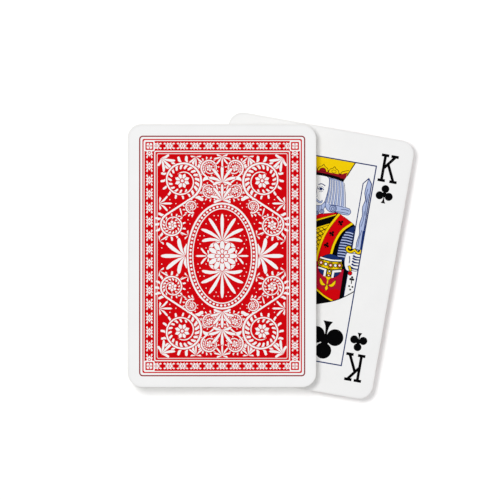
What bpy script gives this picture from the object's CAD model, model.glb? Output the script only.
import math
import bpy
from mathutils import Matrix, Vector
from mathutils.geometry import delaunay_2d_cdt
from mathutils.bvhtree import BVHTree
from mathutils.kdtree import KDTree


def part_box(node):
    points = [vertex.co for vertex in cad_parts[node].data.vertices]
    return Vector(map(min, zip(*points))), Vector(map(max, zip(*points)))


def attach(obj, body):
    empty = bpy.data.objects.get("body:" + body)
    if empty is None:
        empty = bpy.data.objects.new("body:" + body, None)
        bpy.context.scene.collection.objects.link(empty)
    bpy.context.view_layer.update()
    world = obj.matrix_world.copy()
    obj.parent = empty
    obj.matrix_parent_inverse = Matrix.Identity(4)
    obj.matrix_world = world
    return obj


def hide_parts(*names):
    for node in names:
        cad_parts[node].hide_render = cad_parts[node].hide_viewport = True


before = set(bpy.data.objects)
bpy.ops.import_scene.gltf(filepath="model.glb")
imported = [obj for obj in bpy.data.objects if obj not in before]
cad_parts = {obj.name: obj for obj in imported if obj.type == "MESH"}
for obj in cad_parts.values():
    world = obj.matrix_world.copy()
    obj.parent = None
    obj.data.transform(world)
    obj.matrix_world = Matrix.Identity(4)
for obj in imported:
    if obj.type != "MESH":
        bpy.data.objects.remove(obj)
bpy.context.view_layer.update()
mm = 0.001
topDown = sorted(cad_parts, key=lambda node: -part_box(node)[1].z)
print("frame loaded:", len(topDown), "cards")


# Objects and node trees

def newObject(name, data):
    thing = bpy.data.objects.new(name, data)
    bpy.context.scene.collection.objects.link(thing)
    return thing


def newMaterial(name):
    material = bpy.data.materials.new(name)
    material.use_nodes = True
    return material, material.node_tree, material.node_tree.nodes["Principled BSDF"]


def groupShell(name, inputs, outputs, kind="ShaderNodeTree"):
    tree = bpy.data.node_groups.new(name, kind)
    for sockets, way in ((inputs, "INPUT"), (outputs, "OUTPUT")):
        for title, value in sockets:
            tree.interface.new_socket(title, in_out=way, socket_type="NodeSocket" + value)
    return tree, tree.nodes.new("NodeGroupInput"), tree.nodes.new("NodeGroupOutput")


def addNode(tree, kind, values=None, group=None):
    node = tree.nodes.new(kind)
    if group:
        node.node_tree = group
    for title, value in (values or {}).items():
        node.inputs[title].default_value = value
    return node


def wire(tree, *joins):
    # Each join names a node, its output, the next node and its input
    for source, plug, target, socket in joins:
        tree.links.new(source.outputs[plug], target.inputs[socket])


def feed(tree, value, slot):
    # A socket is linked, and a plain value is set
    if isinstance(value, bpy.types.NodeSocket):
        tree.links.new(value, slot)
    else:
        slot.default_value = value


def mathNode(tree, operation, *values):
    node = tree.nodes.new("ShaderNodeMath")
    node.operation = operation
    for value, slot in zip(values, node.inputs):
        feed(tree, value, slot)
    return node.outputs[0]


# Camera straight above, on a long lens, framed as the photograph is

shot = {
    "aim": (0.00943, 0.0019),   # point of the table under the middle of the picture
    "width": 0.1678,             # what the picture spans at the height of the cards
    "height": 4.0,
    "cardsAt": 0.012,
    "sensor": 36.0,
    "clipStart": 0.01,
}


def addCamera():
    lens = bpy.data.cameras.new("topCamera")
    lens.sensor_width = shot["sensor"]
    lens.lens = shot["sensor"] * (shot["height"] - shot["cardsAt"]) / shot["width"]
    lens.clip_start = shot["clipStart"]
    camera = newObject("topCamera", lens)
    camera.location = (*shot["aim"], shot["height"])
    bpy.context.scene.camera = camera


studio = {
    "key": {"from": (-0.14, 0.13, 1.1), "size": 0.22, "power": 5.7},        # upper left of the picture
    "overhead": {"from": (0.0, 0.0, 4.4), "size": 0.28, "power": 56.0},     # behind the camera
    "skyStrength": 0.38,
    "floorDrop": 0.00003,
    "floorSize": 6.0,
    "floorTone": 0.97,
    "floorRough": 0.9,
}


def addLight(name):
    setting = studio[name]
    light = bpy.data.lights.new(name, "AREA")
    light.shape = "DISK"
    light.size = setting["size"]
    light.energy = setting["power"]
    lamp = newObject(name, light)
    lamp.location = setting["from"]
    toAim = Vector(setting["from"]) - Vector((*shot["aim"], 0))
    lamp.rotation_euler = toAim.to_track_quat("Z", "Y").to_euler()


def addSky():
    world = bpy.data.worlds.new("studioSky")
    world.use_nodes = True
    sky = world.node_tree.nodes["Background"]
    sky.inputs["Strength"].default_value = studio["skyStrength"]
    sky.inputs["Color"].default_value = (1, 1, 1, 1)
    bpy.context.scene.world = world
    bpy.context.scene.view_settings.view_transform = "Standard"


def addFloor():
    half = studio["floorSize"] / 2
    low = -studio["floorDrop"]
    mesh = bpy.data.meshes.new("floor")
    corners = [(-half, -half, low), (half, -half, low), (half, half, low), (-half, half, low)]
    mesh.from_pydata(corners, [], [(0, 1, 2, 3)])
    paint, _, shader = newMaterial("paleFloor")
    shader.inputs["Base Color"].default_value = (*3 * [studio["floorTone"]], 1)
    shader.inputs["Roughness"].default_value = studio["floorRough"]
    shader.inputs["Specular IOR Level"].default_value = 0.0
    mesh.materials.append(paint)
    floor = newObject("floor", mesh)


addCamera()
addLight("key")
addLight("overhead")
addSky()
addFloor()
print("stage set")


# Drawing kit: outlines in millimetres on a card, x to its right, y to its top

drawing = {"chord": 0.4, "fewest": 10, "most": 64, "mostInSpan": 10, "sharpest": 0.4}


def away(x, y, r, degrees):
    turn = math.radians(degrees)
    return (x + r * math.cos(turn), y + r * math.sin(turn))


def arcBits(r, sweep=360):
    bits = math.radians(abs(sweep)) * r / drawing["chord"]
    fewest = drawing["fewest"] * abs(sweep) / 360
    return max(2, round(min(max(bits, fewest), drawing["most"])))


def arc(x, y, r, start, end, bits=None):
    bits = bits or arcBits(r, end - start)
    return [away(x, y, r, start + (end - start) * i / bits) for i in range(bits + 1)]


def disc(x, y, r, bits=None):
    return arc(x, y, r, 0, 360, bits)[:-1]


def oval(x, y, halfWide, halfHigh):
    return [(x + px, y + py * halfHigh / halfWide) for px, py in disc(0, 0, halfWide)]


def roundBox(x, y, halfWide, halfHigh, r, bits=None):
    corners = []
    for sx, sy, start in ((1, -1, -90), (1, 1, 0), (-1, 1, 90), (-1, -1, 180)):
        corners += arc(x + sx * (halfWide - r), y + sy * (halfHigh - r), r, start, start + 90, bits)
    return corners


def flow(points, closed=False):
    # Smooth curve through hand-set points
    count = len(points)
    spans = count if closed else count - 1
    curve = []
    for i in range(spans):
        if closed:
            a, b, c, d = (points[(i + k) % count] for k in (-1, 0, 1, 2))
        else:
            a, b, c, d = (points[min(max(i + k, 0), count - 1)] for k in (-1, 0, 1, 2))
        bits = max(2, min(drawing["mostInSpan"], round(math.dist(b, c) / drawing["chord"])))
        for step in range(bits):
            t = step / bits
            curve.append(tuple(
                0.5 * (2 * q + (r - p) * t + (2 * p - 5 * q + 4 * r - s) * t * t
                       + (3 * q - p - 3 * r + s) * t ** 3)
                for p, q, r, s in zip(a, b, c, d)))
    return curve if closed else curve + [points[-1]]


def heading(start, end):
    dx, dy = end[0] - start[0], end[1] - start[1]
    size = math.hypot(dx, dy) or 1.0
    return (dx / size, dy / size)


def ribbon(points, width, closed=False):
    # Band along a line; width is a number, or a rule of the share of the way along
    line = list(points)
    if closed:                 # starts half-way along its longest side, clear of the corners
        line = max((line[i:] + line[:i] for i in range(len(line))), key=lambda p: math.dist(p[-1], p[0]))
        start = tuple((a + b) / 2 for a, b in zip(line[-1], line[0]))
        line = [start] + line + [start]
    last = len(line) - 1
    left, right = [], []
    for i, here in enumerate(line):
        before = line[i - 1] if i else (line[-2] if closed else None)
        after = line[i + 1] if i < last else (line[1] if closed else None)
        into = heading(before or here, here if before else after)
        out = heading(here if after else before, after or here)
        along = heading((0, 0), (into[0] + out[0], into[1] + out[1]))
        mitre = 1 / max(drawing["sharpest"], along[0] * into[0] + along[1] * into[1])
        half = (width(i / last) if callable(width) else width) / 2 * mitre
        left.append((here[0] - along[1] * half, here[1] + along[0] * half))
        right.append((here[0] + along[1] * half, here[1] - along[0] * half))
    return right + left[::-1]


def placed(points, x=0.0, y=0.0, turn=0.0, size=1.0, flip=1):
    c, s = math.cos(math.radians(turn)) * size, math.sin(math.radians(turn)) * size
    return [(x + c * px * flip - s * py, y + s * px * flip + c * py) for px, py in points]


def mirrored(points):
    return [(-x, y) for x, y in points]


def halves(points):
    # Whole outline from its right half, which starts and ends on the middle line
    return points + mirrored(points[-2:0:-1])


def inked(ink, *outlines):
    return [(ink, points) for points in outlines]


def edged(ink, points, wide=0.2, edge="navy"):
    return inked(ink, points) + inked(edge, ribbon(points, wide, closed=True))


def strokes(ink, wide, *lines):
    return inked(ink, *(ribbon(flow(line), wide) for line in lines))


def cased(ink, line, outer, inner, casing="black"):
    # A band of one ink between two edges of another
    return inked(casing, ribbon(line, outer)) + inked(ink, ribbon(line, inner))


def moved(shapes, *place, **more):
    return [(ink, placed(points, *place, **more)) for ink, points in shapes]


def bothWays(shapes):
    return shapes + [(ink, mirrored(points)) for ink, points in shapes]


def spun(shapes):
    return [(ink, [(-x, -y) for x, y in points]) for ink, points in shapes]


def fourWays(shapes):
    return bothWays(shapes) + spun(bothWays(shapes))


# Rows of one motif along a line, as an instancing tree

def makeRowTree():
    tree, given, result = groupShell(
        "motifRow",
        [("Line", "Geometry"), ("Motif", "Object"), ("Spacing", "Float"), ("Lean", "Float"),
         ("Size at start", "Float"), ("Size at end", "Float"), ("Ink", "Material")],
        [("Row", "Geometry")], "GeometryNodeTree")
    nodes = tree.nodes
    spread = nodes.new("GeometryNodeResampleCurve")
    spread.mode = "LENGTH"
    along = nodes.new("GeometryNodeInputTangent")
    aim = nodes.new("FunctionNodeAlignRotationToVector")
    aim.axis = "X"
    aim.pivot_axis = "Z"
    spin = nodes.new("ShaderNodeCombineXYZ")
    toTurn = nodes.new("FunctionNodeEulerToRotation")
    turn = nodes.new("FunctionNodeRotateRotation")
    turn.rotation_space = "LOCAL"
    share = nodes.new("GeometryNodeSplineParameter")
    grow = nodes.new("ShaderNodeMapRange")
    motif = nodes.new("GeometryNodeObjectInfo")
    put = nodes.new("GeometryNodeInstanceOnPoints")
    solid = nodes.new("GeometryNodeRealizeInstances")
    coat = nodes.new("GeometryNodeSetMaterial")
    wire(tree,
         (given, "Line", spread, "Curve"),
         (given, "Spacing", spread, "Length"),
         (spread, "Curve", put, "Points"),
         (given, "Motif", motif, "Object"),
         (motif, "Geometry", put, "Instance"),
         (along, "Tangent", aim, "Vector"),
         (given, "Lean", spin, "Z"),
         (spin, "Vector", toTurn, "Euler"),
         (aim, "Rotation", turn, "Rotation"),
         (toTurn, "Rotation", turn, "Rotate By"),
         (turn, "Rotation", put, "Rotation"),
         (share, "Factor", grow, "Value"),
         (given, "Size at start", grow, "To Min"),
         (given, "Size at end", grow, "To Max"),
         (grow, "Result", put, "Scale"),
         (put, "Instances", solid, "Geometry"),
         (solid, "Geometry", coat, "Geometry"),
         (given, "Ink", coat, "Material"),
         (coat, "Geometry", result, "Row"))
    return tree


rowTree = makeRowTree()


def row(ink, line, motif, spacing, lean=0.0, start=1.0, end=1.0, closed=False):
    # One motif set along a line, its own x along the line
    path = bpy.data.curves.new("rowLine", "CURVE")
    path.dimensions = "3D"
    spline = path.splines.new("POLY")
    spline.points.add(len(line) - 1)
    for point, (x, y) in zip(spline.points, line):
        point.co = (x, y, 0, 1)
    spline.use_cyclic_u = closed
    carrier = newObject("rowLine", path)
    stampMesh = bpy.data.meshes.new("motif")
    stampMesh.from_pydata([(x, y, 0) for x, y in motif], [], [range(len(motif))])
    stamp = newObject("motif", stampMesh)
    rule = carrier.modifiers.new("motifRow", "NODES")
    rule.node_group = rowTree
    values = {"Motif": stamp, "Spacing": spacing, "Lean": math.radians(lean),
              "Size at start": start, "Size at end": end, "Ink": inks[ink]}
    for item in rowTree.interface.items_tree:
        if item.name in values:
            rule[item.identifier] = values[item.name]
    seen = carrier.evaluated_get(bpy.context.evaluated_depsgraph_get())
    flat = bpy.data.meshes.new_from_object(seen)
    made = [[tuple(flat.vertices[i].co[:2]) for i in bit.vertices] for bit in flat.polygons]
    for thing in (carrier, stamp):
        bpy.data.objects.remove(thing)
    bpy.data.curves.remove(path)
    for mesh in (stampMesh, flat):
        bpy.data.meshes.remove(mesh)
    return inked(ink, *made)


# Card stock and inks

tones = {                      # sRGB of the print, which the studio light lifts to the photograph's
    "paper": (226, 226, 226),
    "red": (194, 3, 11),
    "deepRed": (134, 16, 26),
    "crimson": (168, 14, 42),
    "black": (3, 3, 4),
    "navy": (22, 42, 96),
    "paleBlue": (162, 175, 209),
    "yellow": (228, 193, 6),
    "cutEdge": (234, 231, 224),
}
sheen = {
    "paper": {"rough": 0.55, "spread": 0.12, "specular": 0.2, "cloud": 0.05, "soil": 0.06},
    "ink": {"rough": 0.58, "spread": 0.16, "specular": 0.008},
}
emboss = {"pitch": 0.42 * mm, "depth": 0.012 * mm, "strength": 0.35}
pulp = {                       # noise scales in waves to the metre
    "clouds": {"Scale": 140, "Detail": 3},
    "fibres": {"Scale": 2600, "Detail": 4, "Distortion": 1.2},
    "fibreShare": 0.6,
    "soilReach": 0.9,          # from the rim inwards, in millimetres
}
cutSide = {
    "stretch": (900, 900, 7000), "detail": 4,
    "darkest": 0.80, "ownTone": 0.14, "fibreTone": 0.24,
    "rough": 0.88, "specular": 0.15, "strength": 0.5, "depth": 0.02 * mm,
}


def layerStep():
    # From one card of the pile to the next, to the micrometre
    top, bottom = (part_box(topDown[end])[1].z for end in (0, -1))
    return round((top - bottom) / (len(topDown) - 1), 6)


def linear(tone):
    # sRGB to linear light
    shares = [v / 255 for v in tone]
    return [v / 12.92 if v <= 0.04045 else ((v + 0.055) / 1.055) ** 2.4 for v in shares] + [1.0]


def tinted(tree, tone, share):
    # A tone times a share that changes over the surface
    node = tree.nodes.new("ShaderNodeVectorMath")
    node.operation = "SCALE"
    feed(tree, tone, node.inputs[0])
    feed(tree, share, node.inputs["Scale"])
    return node.outputs["Vector"]


def addBump(tree, shader, height, strength, depth):
    bump = addNode(tree, "ShaderNodeBump", {"Strength": strength, "Distance": depth})
    feed(tree, height, bump.inputs["Height"])
    wire(tree, (bump, "Normal", shader, "Normal"))


def makeEmbossGroup():
    # Crossed waves of the pressed linen finish
    tree, given, result = groupShell(
        "linenEmboss", [("Vector", "Vector"), ("Pitch", "Float")], [("Height", "Float")])
    split = tree.nodes.new("ShaderNodeSeparateXYZ")
    wire(tree, (given, "Vector", split, "Vector"))
    rate = mathNode(tree, "DIVIDE", math.tau, given.outputs["Pitch"])
    waves = [mathNode(tree, "SINE", mathNode(tree, "MULTIPLY", split.outputs[axis], rate))
             for axis in ("X", "Y")]
    crossed = mathNode(tree, "MULTIPLY", *waves)
    feed(tree, mathNode(tree, "MULTIPLY_ADD", crossed, 0.5, 0.5), result.inputs["Height"])
    return tree


def makeMottleGroup():
    # Cloudy pulp, fine fibres and handling soil towards the rim
    tree, given, result = groupShell(
        "pulpAndSoil",
        [("Vector", "Vector"), ("Tone", "Color"), ("Cloud", "Float"), ("Soil", "Float")],
        [("Colour", "Color"), ("Grain", "Float")])
    clouds = addNode(tree, "ShaderNodeTexNoise", pulp["clouds"])
    fibres = addNode(tree, "ShaderNodeTexNoise", pulp["fibres"])
    rim = tree.nodes.new("ShaderNodeAttribute")
    rim.attribute_name = "rim"
    near = addNode(tree, "ShaderNodeMapRange",
                   {"From Max": pulp["soilReach"], "To Min": 1.0, "To Max": 0.0})
    near.interpolation_type = "SMOOTHSTEP"
    wire(tree,
         (given, "Vector", clouds, "Vector"),
         (given, "Vector", fibres, "Vector"),
         (rim, "Fac", near, "Value"),
         (fibres, "Fac", result, "Grain"))
    drift = mathNode(tree, "SUBTRACT", clouds.outputs["Fac"], 0.5)
    speck = mathNode(tree, "SUBTRACT", fibres.outputs["Fac"], 0.5)
    both = mathNode(tree, "MULTIPLY_ADD", speck, pulp["fibreShare"], drift)
    pale = mathNode(tree, "MULTIPLY_ADD", both, given.outputs["Cloud"], 1.0)
    dirt = mathNode(tree, "MULTIPLY", near.outputs["Result"], given.outputs["Soil"])
    shade = mathNode(tree, "SUBTRACT", pale, dirt)
    feed(tree, tinted(tree, given.outputs["Tone"], shade), result.inputs["Colour"])
    return tree


embossGroup = makeEmbossGroup()
mottleGroup = makeMottleGroup()


def makeInk(name, rough, spread, specular, cloud=0.0, soil=0.0):
    material, tree, shader = newMaterial(name)
    tone = linear(tones[name])
    place = tree.nodes.new("ShaderNodeTexCoord")
    mottle = addNode(tree, "ShaderNodeGroup", {"Tone": tone, "Cloud": cloud, "Soil": soil}, mottleGroup)
    linen = addNode(tree, "ShaderNodeGroup", {"Pitch": emboss["pitch"]}, embossGroup)
    wire(tree, (place, "Object", mottle, "Vector"), (place, "Object", linen, "Vector"))
    feed(tree, mottle.outputs["Colour"] if cloud else tone, shader.inputs["Base Color"])
    dull = mathNode(tree, "MULTIPLY_ADD", mottle.outputs["Grain"], spread, rough - spread / 2)
    feed(tree, dull, shader.inputs["Roughness"])
    addBump(tree, shader, linen.outputs["Height"], emboss["strength"], emboss["depth"])
    shader.inputs["Specular IOR Level"].default_value = specular
    return material


def makeCutEdge():
    # Die-cut side of the stock: a tone of its own on each card, and fibres along it
    material, tree, shader = newMaterial("cutEdge")
    place = tree.nodes.new("ShaderNodeTexCoord")
    split = tree.nodes.new("ShaderNodeSeparateXYZ")
    own = tree.nodes.new("ShaderNodeTexWhiteNoise")
    own.noise_dimensions = "1D"
    stretch = addNode(tree, "ShaderNodeMapping", {"Scale": cutSide["stretch"]})
    fibres = addNode(tree, "ShaderNodeTexNoise", {"Scale": 1.0, "Detail": cutSide["detail"]})
    wire(tree,
         (place, "Object", split, "Vector"),
         (place, "Object", stretch, "Vector"),
         (stretch, "Vector", fibres, "Vector"))
    level = mathNode(tree, "FLOOR", mathNode(tree, "DIVIDE", split.outputs["Z"], layerStep()))
    feed(tree, level, own.inputs["W"])
    shade = mathNode(tree, "MULTIPLY_ADD", own.outputs["Value"], cutSide["ownTone"], cutSide["darkest"])
    shade = mathNode(tree, "MULTIPLY_ADD", fibres.outputs["Fac"], cutSide["fibreTone"], shade)
    feed(tree, tinted(tree, linear(tones["cutEdge"])[:3], shade), shader.inputs["Base Color"])
    addBump(tree, shader, fibres.outputs["Fac"], cutSide["strength"], cutSide["depth"])
    shader.inputs["Roughness"].default_value = cutSide["rough"]
    shader.inputs["Specular IOR Level"].default_value = cutSide["specular"]
    return material


inks = {}
for inkName in tones:
    if inkName == "cutEdge":
        inks[inkName] = makeCutEdge()
    else:
        inks[inkName] = makeInk(inkName, **sheen.get(inkName, sheen["ink"]))
inkNames = list(inks)
print("stock and inks mixed:", ", ".join(inkNames))


# Pressing: overlapping shapes become one flat sheet, each bit in the ink that lies on top

def cardSize():
    # Width and height of a card that lies square, in millimetres
    low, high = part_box(topDown[0])
    return [round(length / mm, 3) for length in (high - low)[:2]]


cardWide, cardHigh = cardSize()
card = {"wide": cardWide, "high": cardHigh, "corner": 4.7, "cornerBits": 16, "bevel": 0.045, "slack": 0.022}
pressing = {
    "shortest": 0.001, "weld": 1e-4, "finestWeld": 1e-6, "sweeps": 4,
    "insideOnly": 1, "wholeHull": 0,         # what a triangulation fills
}


def cardOutline(inset):
    return roundBox(0, 0, card["wide"] / 2 - inset, card["high"] / 2 - inset,
                    card["corner"] - inset, card["cornerBits"])


def leftHanded(points):
    # Starts at the lowest corner and keeps the inside on the left, also where a line crosses itself
    sides = zip(points, points[1:] + points[:1])
    ring = [p for p, q in sides if math.dist(p, q) > pressing["shortest"]]
    low = min(range(len(ring)), key=lambda i: (ring[i][1], ring[i][0]))
    ring = ring[low:] + ring[:low]
    (ax, ay), (bx, by), (cx, cy) = ring[-1], ring[0], ring[1]
    if (bx - ax) * (cy - by) < (by - ay) * (cx - bx):
        ring = ring[:1] + ring[:0:-1]
    return ring


def pressSheet(shapes, half=(), over=(), window=None):
    # half shows only inside the window, and once more turned about the card's middle
    layers = [("paper", cardOutline(card["bevel"]), None)]
    layers += [(ink, points, None) for ink, points in shapes]
    if window:
        for plate, pane in ((half, window), (spun(half), [(-x, -y) for x, y in window])):
            at = len(layers)
            layers.append((None, pane, None))
            layers += [(ink, points, at) for ink, points in plate]
    layers += [(ink, points, None) for ink, points in over]
    corners, faces = [], []
    for ink, points, _ in layers:
        around = points if ink == "paper" and not faces else leftHanded(points)
        faces.append(list(range(len(corners), len(corners) + len(around))))
        corners += around
    flat, _, bits, fromCorner, _, fromFace = delaunay_2d_cdt(
        [Vector(c) for c in corners], [], faces, pressing["insideOnly"], pressing["weld"], True)
    inkOf, meeting = [], {}
    for bit, owners in zip(bits, fromFace):
        shown = [i for i in owners if layers[i][0] and (layers[i][2] is None or layers[i][2] in owners)]
        inkOf.append(inkNames.index(layers[max(shown)][0]))
        for a, b in zip(bit, bit[1:] + bit[:1]):
            meeting.setdefault((min(a, b), max(a, b)), set()).add(inkOf[-1])
    newAt = {old: new for new, olds in enumerate(fromCorner) for old in olds}
    rim = [newAt[i] for i in faces[0]]
    borders = {side for side, met in meeting.items() if len(met) > 1}
    borders |= {(min(a, b), max(a, b)) for a, b in zip(rim, rim[1:] + rim[:1])}
    return thinSheet(flat, bits, inkOf, borders, rim)


def straighten(flat, borders, rim):
    # Drops corners that lie within a hair of the line past them
    beside, owed = {}, {}
    for a, b in borders:
        beside.setdefault(a, set()).add(b)
        beside.setdefault(b, set()).add(a)
    for _ in range(pressing["sweeps"]):
        for spot in [s for s in beside if len(beside[s]) == 2 and s not in rim]:
            a, b = beside[spot]
            along = heading(flat[a], flat[b])
            gap = (flat[spot][0] - flat[a][0]) * along[1] - (flat[spot][1] - flat[a][1]) * along[0]
            gap = abs(gap) + max(owed.get(frozenset((spot, end)), 0.0) for end in (a, b))
            if gap < card["slack"] and b not in beside[a]:
                owed[frozenset((a, b))] = gap
                beside[a] = beside[a] - {spot} | {b}
                beside[b] = beside[b] - {spot} | {a}
                beside[spot] = set()
    return {(min(a, b), max(a, b)) for a in beside for b in beside[a]}


def thinSheet(flat, bits, inkOf, borders, rim):
    # Keeps only the lines where two inks meet, and fills between them afresh
    borders = straighten(flat, borders, set(rim))
    kept = sorted({i for side in borders for i in side})
    at = {old: new for new, old in enumerate(kept)}
    lines = [(at[a], at[b]) for a, b in borders]
    points, _, triangles, fromCorner, *_ = delaunay_2d_cdt(
        [flat[i] for i in kept], lines, [], pressing["wholeHull"], pressing["finestWeld"], True)
    under = BVHTree.FromPolygons([(x, y, 0) for x, y in flat], bits)
    newAt = {old: new for new, olds in enumerate(fromCorner) for old in olds}
    inksNow = []
    for triangle in triangles:
        x, y = (sum(points[i][axis] for i in triangle) / 3 for axis in (0, 1))
        hit = under.ray_cast((x, y, 1), (0, 0, -1))
        inksNow.append(inkOf[hit[2]])
    return {"points": [tuple(p) for p in points], "triangles": [tuple(t) for t in triangles],
            "inks": inksNow, "rim": [newAt[at[i]] for i in rim]}


def cardMesh(name, upper, lower, middle, low, high, turn=0.0):
    # Two pressed sheets joined by a bevelled, die-cut side
    across = card["bevel"] * mm
    c, s = math.cos(math.radians(turn)), math.sin(math.radians(turn))
    spots, rims, faces, inkOf = [], [], [], []

    def put(x, y, z, rim):
        spots.append((middle[0] + (c * x - s * y) * mm, middle[1] + (s * x + c * y) * mm, z))
        rims.append(rim)

    def putSheet(sheet, z, side):
        start = len(spots)
        onRim = set(sheet["rim"])
        for i, (x, y) in enumerate(sheet["points"]):
            inside = min(card["wide"] / 2 - abs(x), card["high"] / 2 - abs(y))
            put(x * side, y, z, 0.0 if i in onRim else inside)
        for bit, ink in zip(sheet["triangles"], sheet["inks"]):
            faces.append(tuple(start + i for i in (bit if side > 0 else bit[::-1])))
            inkOf.append(ink)
        return start

    topStart = putSheet(upper, high, 1)
    underStart = putSheet(lower, low, -1)
    count = len(upper["rim"])
    walls = []
    for z in (high - across, low + across):
        walls.append(len(spots))
        for x, y in cardOutline(0.0):
            put(x, y, z, 0.0)
    rings = [[topStart + i for i in upper["rim"]],
             [walls[0] + i for i in range(count)],
             [walls[1] + i for i in range(count)],
             [underStart + i for i in lower["rim"][::-1]]]     # the underside is drawn mirrored
    cutInk = inkNames.index("cutEdge")
    for above, below in zip(rings, rings[1:]):
        for i in range(count):
            j = (i + 1) % count
            faces.append((above[i], below[i], below[j], above[j]))
            inkOf.append(cutInk)
    mesh = bpy.data.meshes.new(name)
    mesh.from_pydata(spots, [], faces)
    for ink in inks.values():
        mesh.materials.append(ink)
    mesh.polygons.foreach_set("material_index", inkOf)
    mesh.attributes.new("rim", "FLOAT", "POINT").data.foreach_set("value", rims)
    mesh.update()
    return mesh


# Ornament of the card's back

backPrint = {
    "frame": (27.85, 40.35), "frameLine": 0.42, "frameCorner": 1.2,
    "field": (26.75, 39.25), "fieldCorner": 0.5,
    "vine": 0.74, "vineTip": 0.4,
    "edge": 0.23,                            # red rim that parts leaves and vines
    "dotPitch": 1.35, "dot": 0.22, "dotRoom": 0.75,
}
leafForm = {"bits": 0.55, "mostBits": 5, "fullness": 0.66, "swell": 0.8, "tip": 3,
            "crease": 0.42, "creasedFrom": 2.3, "creaseFoot": 0.18, "creaseTip": 0.8}
flowerForm = {"petal": 4.6, "eye": 0.34, "dot": 0.2, "turn": 22.5}
sprayForm = {"drop": 0.45, "curl": 62, "wide": 0.2}
coilForm = {"bits": 10, "ease": 1.3}
leaves = {"bend": 75, "step": 2.15, "lean": 26,
          "inside": {"long": 3.3, "wide": 1.4, "share": 0.62, "end": 0.7},
          "outside": {"long": 4.3, "wide": 1.85, "share": 0.66, "end": 0.5}}
roundels = {
    "corner": {"x": 13.4, "y": 25.2, "r": 6.6, "spin": -1, "turns": 1.5, "eye": 2.6,
               "petals": 8, "leafSize": 0.9},
    "side": {"x": 16.7, "y": 10.4, "r": 4.0, "spin": 1, "turns": 1.4, "eye": 1.6,
             "petals": 6, "leafSize": 0.66},
    "top": {"x": 4.2, "y": 29.5, "r": 2.9, "spin": 1, "turns": 1.3, "eye": 1.2,
            "petals": 6, "leafSize": 0.5},
    "low": {"x": 4.3, "y": 22.0, "r": 2.8, "spin": -1, "turns": 1.3, "eye": 1.2,
            "petals": 6, "leafSize": 0.5},
    "gap": {"x": 10.2, "y": 16.6, "r": 2.2, "spin": -1, "turns": 1.2, "eye": 0.9, "start": 250,
            "petals": 5, "leafSize": 0.42},
}
sprays = {                                   # x, y, length, leaves, spread, direction
    "quarter": [
        (20.5, 32.9, 5.6, 5, 76, 225),
        (21.1, 17.6, 4.4, 5, 110, 180),
        (21.0, 5.0, 3.6, 3, 80, 150),
        (8.8, 33.4, 3.6, 5, 130, 270),
        (13.4, 13.2, 3.0, 3, 90, 75),
        (11.4, 6.9, 3.4, 3, 80, 20),
    ],
    "half": [
        (0, 24.6, 6.2, 7, 150, 90),
        (0, 33.6, 3.8, 7, 150, 270),
        (0, 18.6, 5.6, 7, 150, 90),
        (12.4, 0, 8.2, 7, 150, 0),
    ],
    "medallion": [                           # the upright pair has slimmer leaves
        (0, 4.8, 9.4, 9, 176, 90, 0.15),
        (0, -4.8, 9.4, 9, 176, 270, 0.15),
        (4.6, 0, 4.3, 5, 130, 0),
        (-4.6, 0, 4.3, 5, 130, 180),
    ],
}
medallion = {
    "oval": (11.6, 17.6), "clearing": 0.5,
    "lines": ((0.0, 0.6), (1.75, 0.35)),     # inset and width
    "beadInset": 0.95, "bead": 0.42, "beadStep": 1.3,
    "flowers": ((5.1, 12), (2.4, 8)),        # radius and petals
}
border = {
    "band": (24.4, 36.9),                    # middle of the border of flowers and leaves
    "lines": ((26.2, 38.7, 0.3), (22.6, 35.1, 0.38), (21.8, 34.3, 0.2)), "lineCorner": 0.4,
    "step": 4.4, "flower": (1.4, 0.78), "eye": 0.52, "dot": 0.3,
    "leaf": (1.5, 0.75), "leafAt": 0.75,
    "leaves": ((40, -60), (-40, 60), (140, 60), (220, -60)),                 # lean and bend
    "block": (("paper", 1.75, 0.3), ("red", 1.35, 0.2)), "blockFlower": 1.2,
}


def spine(length, bend, t):
    # Point and course of a leaf's middle line; a straight leaf bends by next to nothing
    curve = math.radians(bend) or 0.001
    return (length * math.sin(curve * t) / curve, length * (1 - math.cos(curve * t)) / curve, curve * t)


def blade(length, wide, bend=0.0):
    # Comma-shaped leaf: stalk at the origin, growing along x, bending to its left
    bits = max(2, min(leafForm["mostBits"], round(leafForm["bits"] * length + 1)))
    left, right = [], []
    for i in range(bits + 1):
        t = math.sin(math.pi / 2 * i / bits)
        x, y, course = spine(length, bend, t)
        half = wide * leafForm["fullness"] * t ** leafForm["swell"] * math.sqrt(1 - t ** leafForm["tip"])
        left.append((x - math.sin(course) * half, y + math.cos(course) * half))
        right.append((x + math.sin(course) * half, y - math.cos(course) * half))
    return right + left[-2:0:-1]


def crease(length, bend):
    near, far = (spine(length, bend, leafForm[end])[:2] for end in ("creaseFoot", "creaseTip"))
    return ribbon([near, far], lambda f: leafForm["crease"] * (1 - f))[:3]


def leafBits(length, wide, bend):
    # A red rim parts each white leaf from those that it covers
    edge = backPrint["edge"]
    bits = [("red", placed(blade(length + 2 * edge, wide + 2 * edge, bend), -edge)),
            ("paper", blade(length, wide, bend))]
    if length > leafForm["creasedFrom"]:
        bits.append(("red", crease(length, bend)))
    return bits


def leafRow(line, length, wide, bend, *layout):
    shapes = []
    for ink, motif in leafBits(length, wide, bend):
        shapes += row(ink, line, motif, *layout)
    return shapes


def rosette(x, y, r, petals, turn=0.0):
    shapes = []
    for i in range(petals):
        petal = leafBits(r, r * flowerForm["petal"] / petals, 0)
        shapes += moved(petal, x, y, turn + 360 * i / petals)
    for ink, part in (("red", "eye"), ("paper", "dot")):
        shapes += inked(ink, disc(x, y, r * flowerForm[part]))
    return shapes


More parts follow.
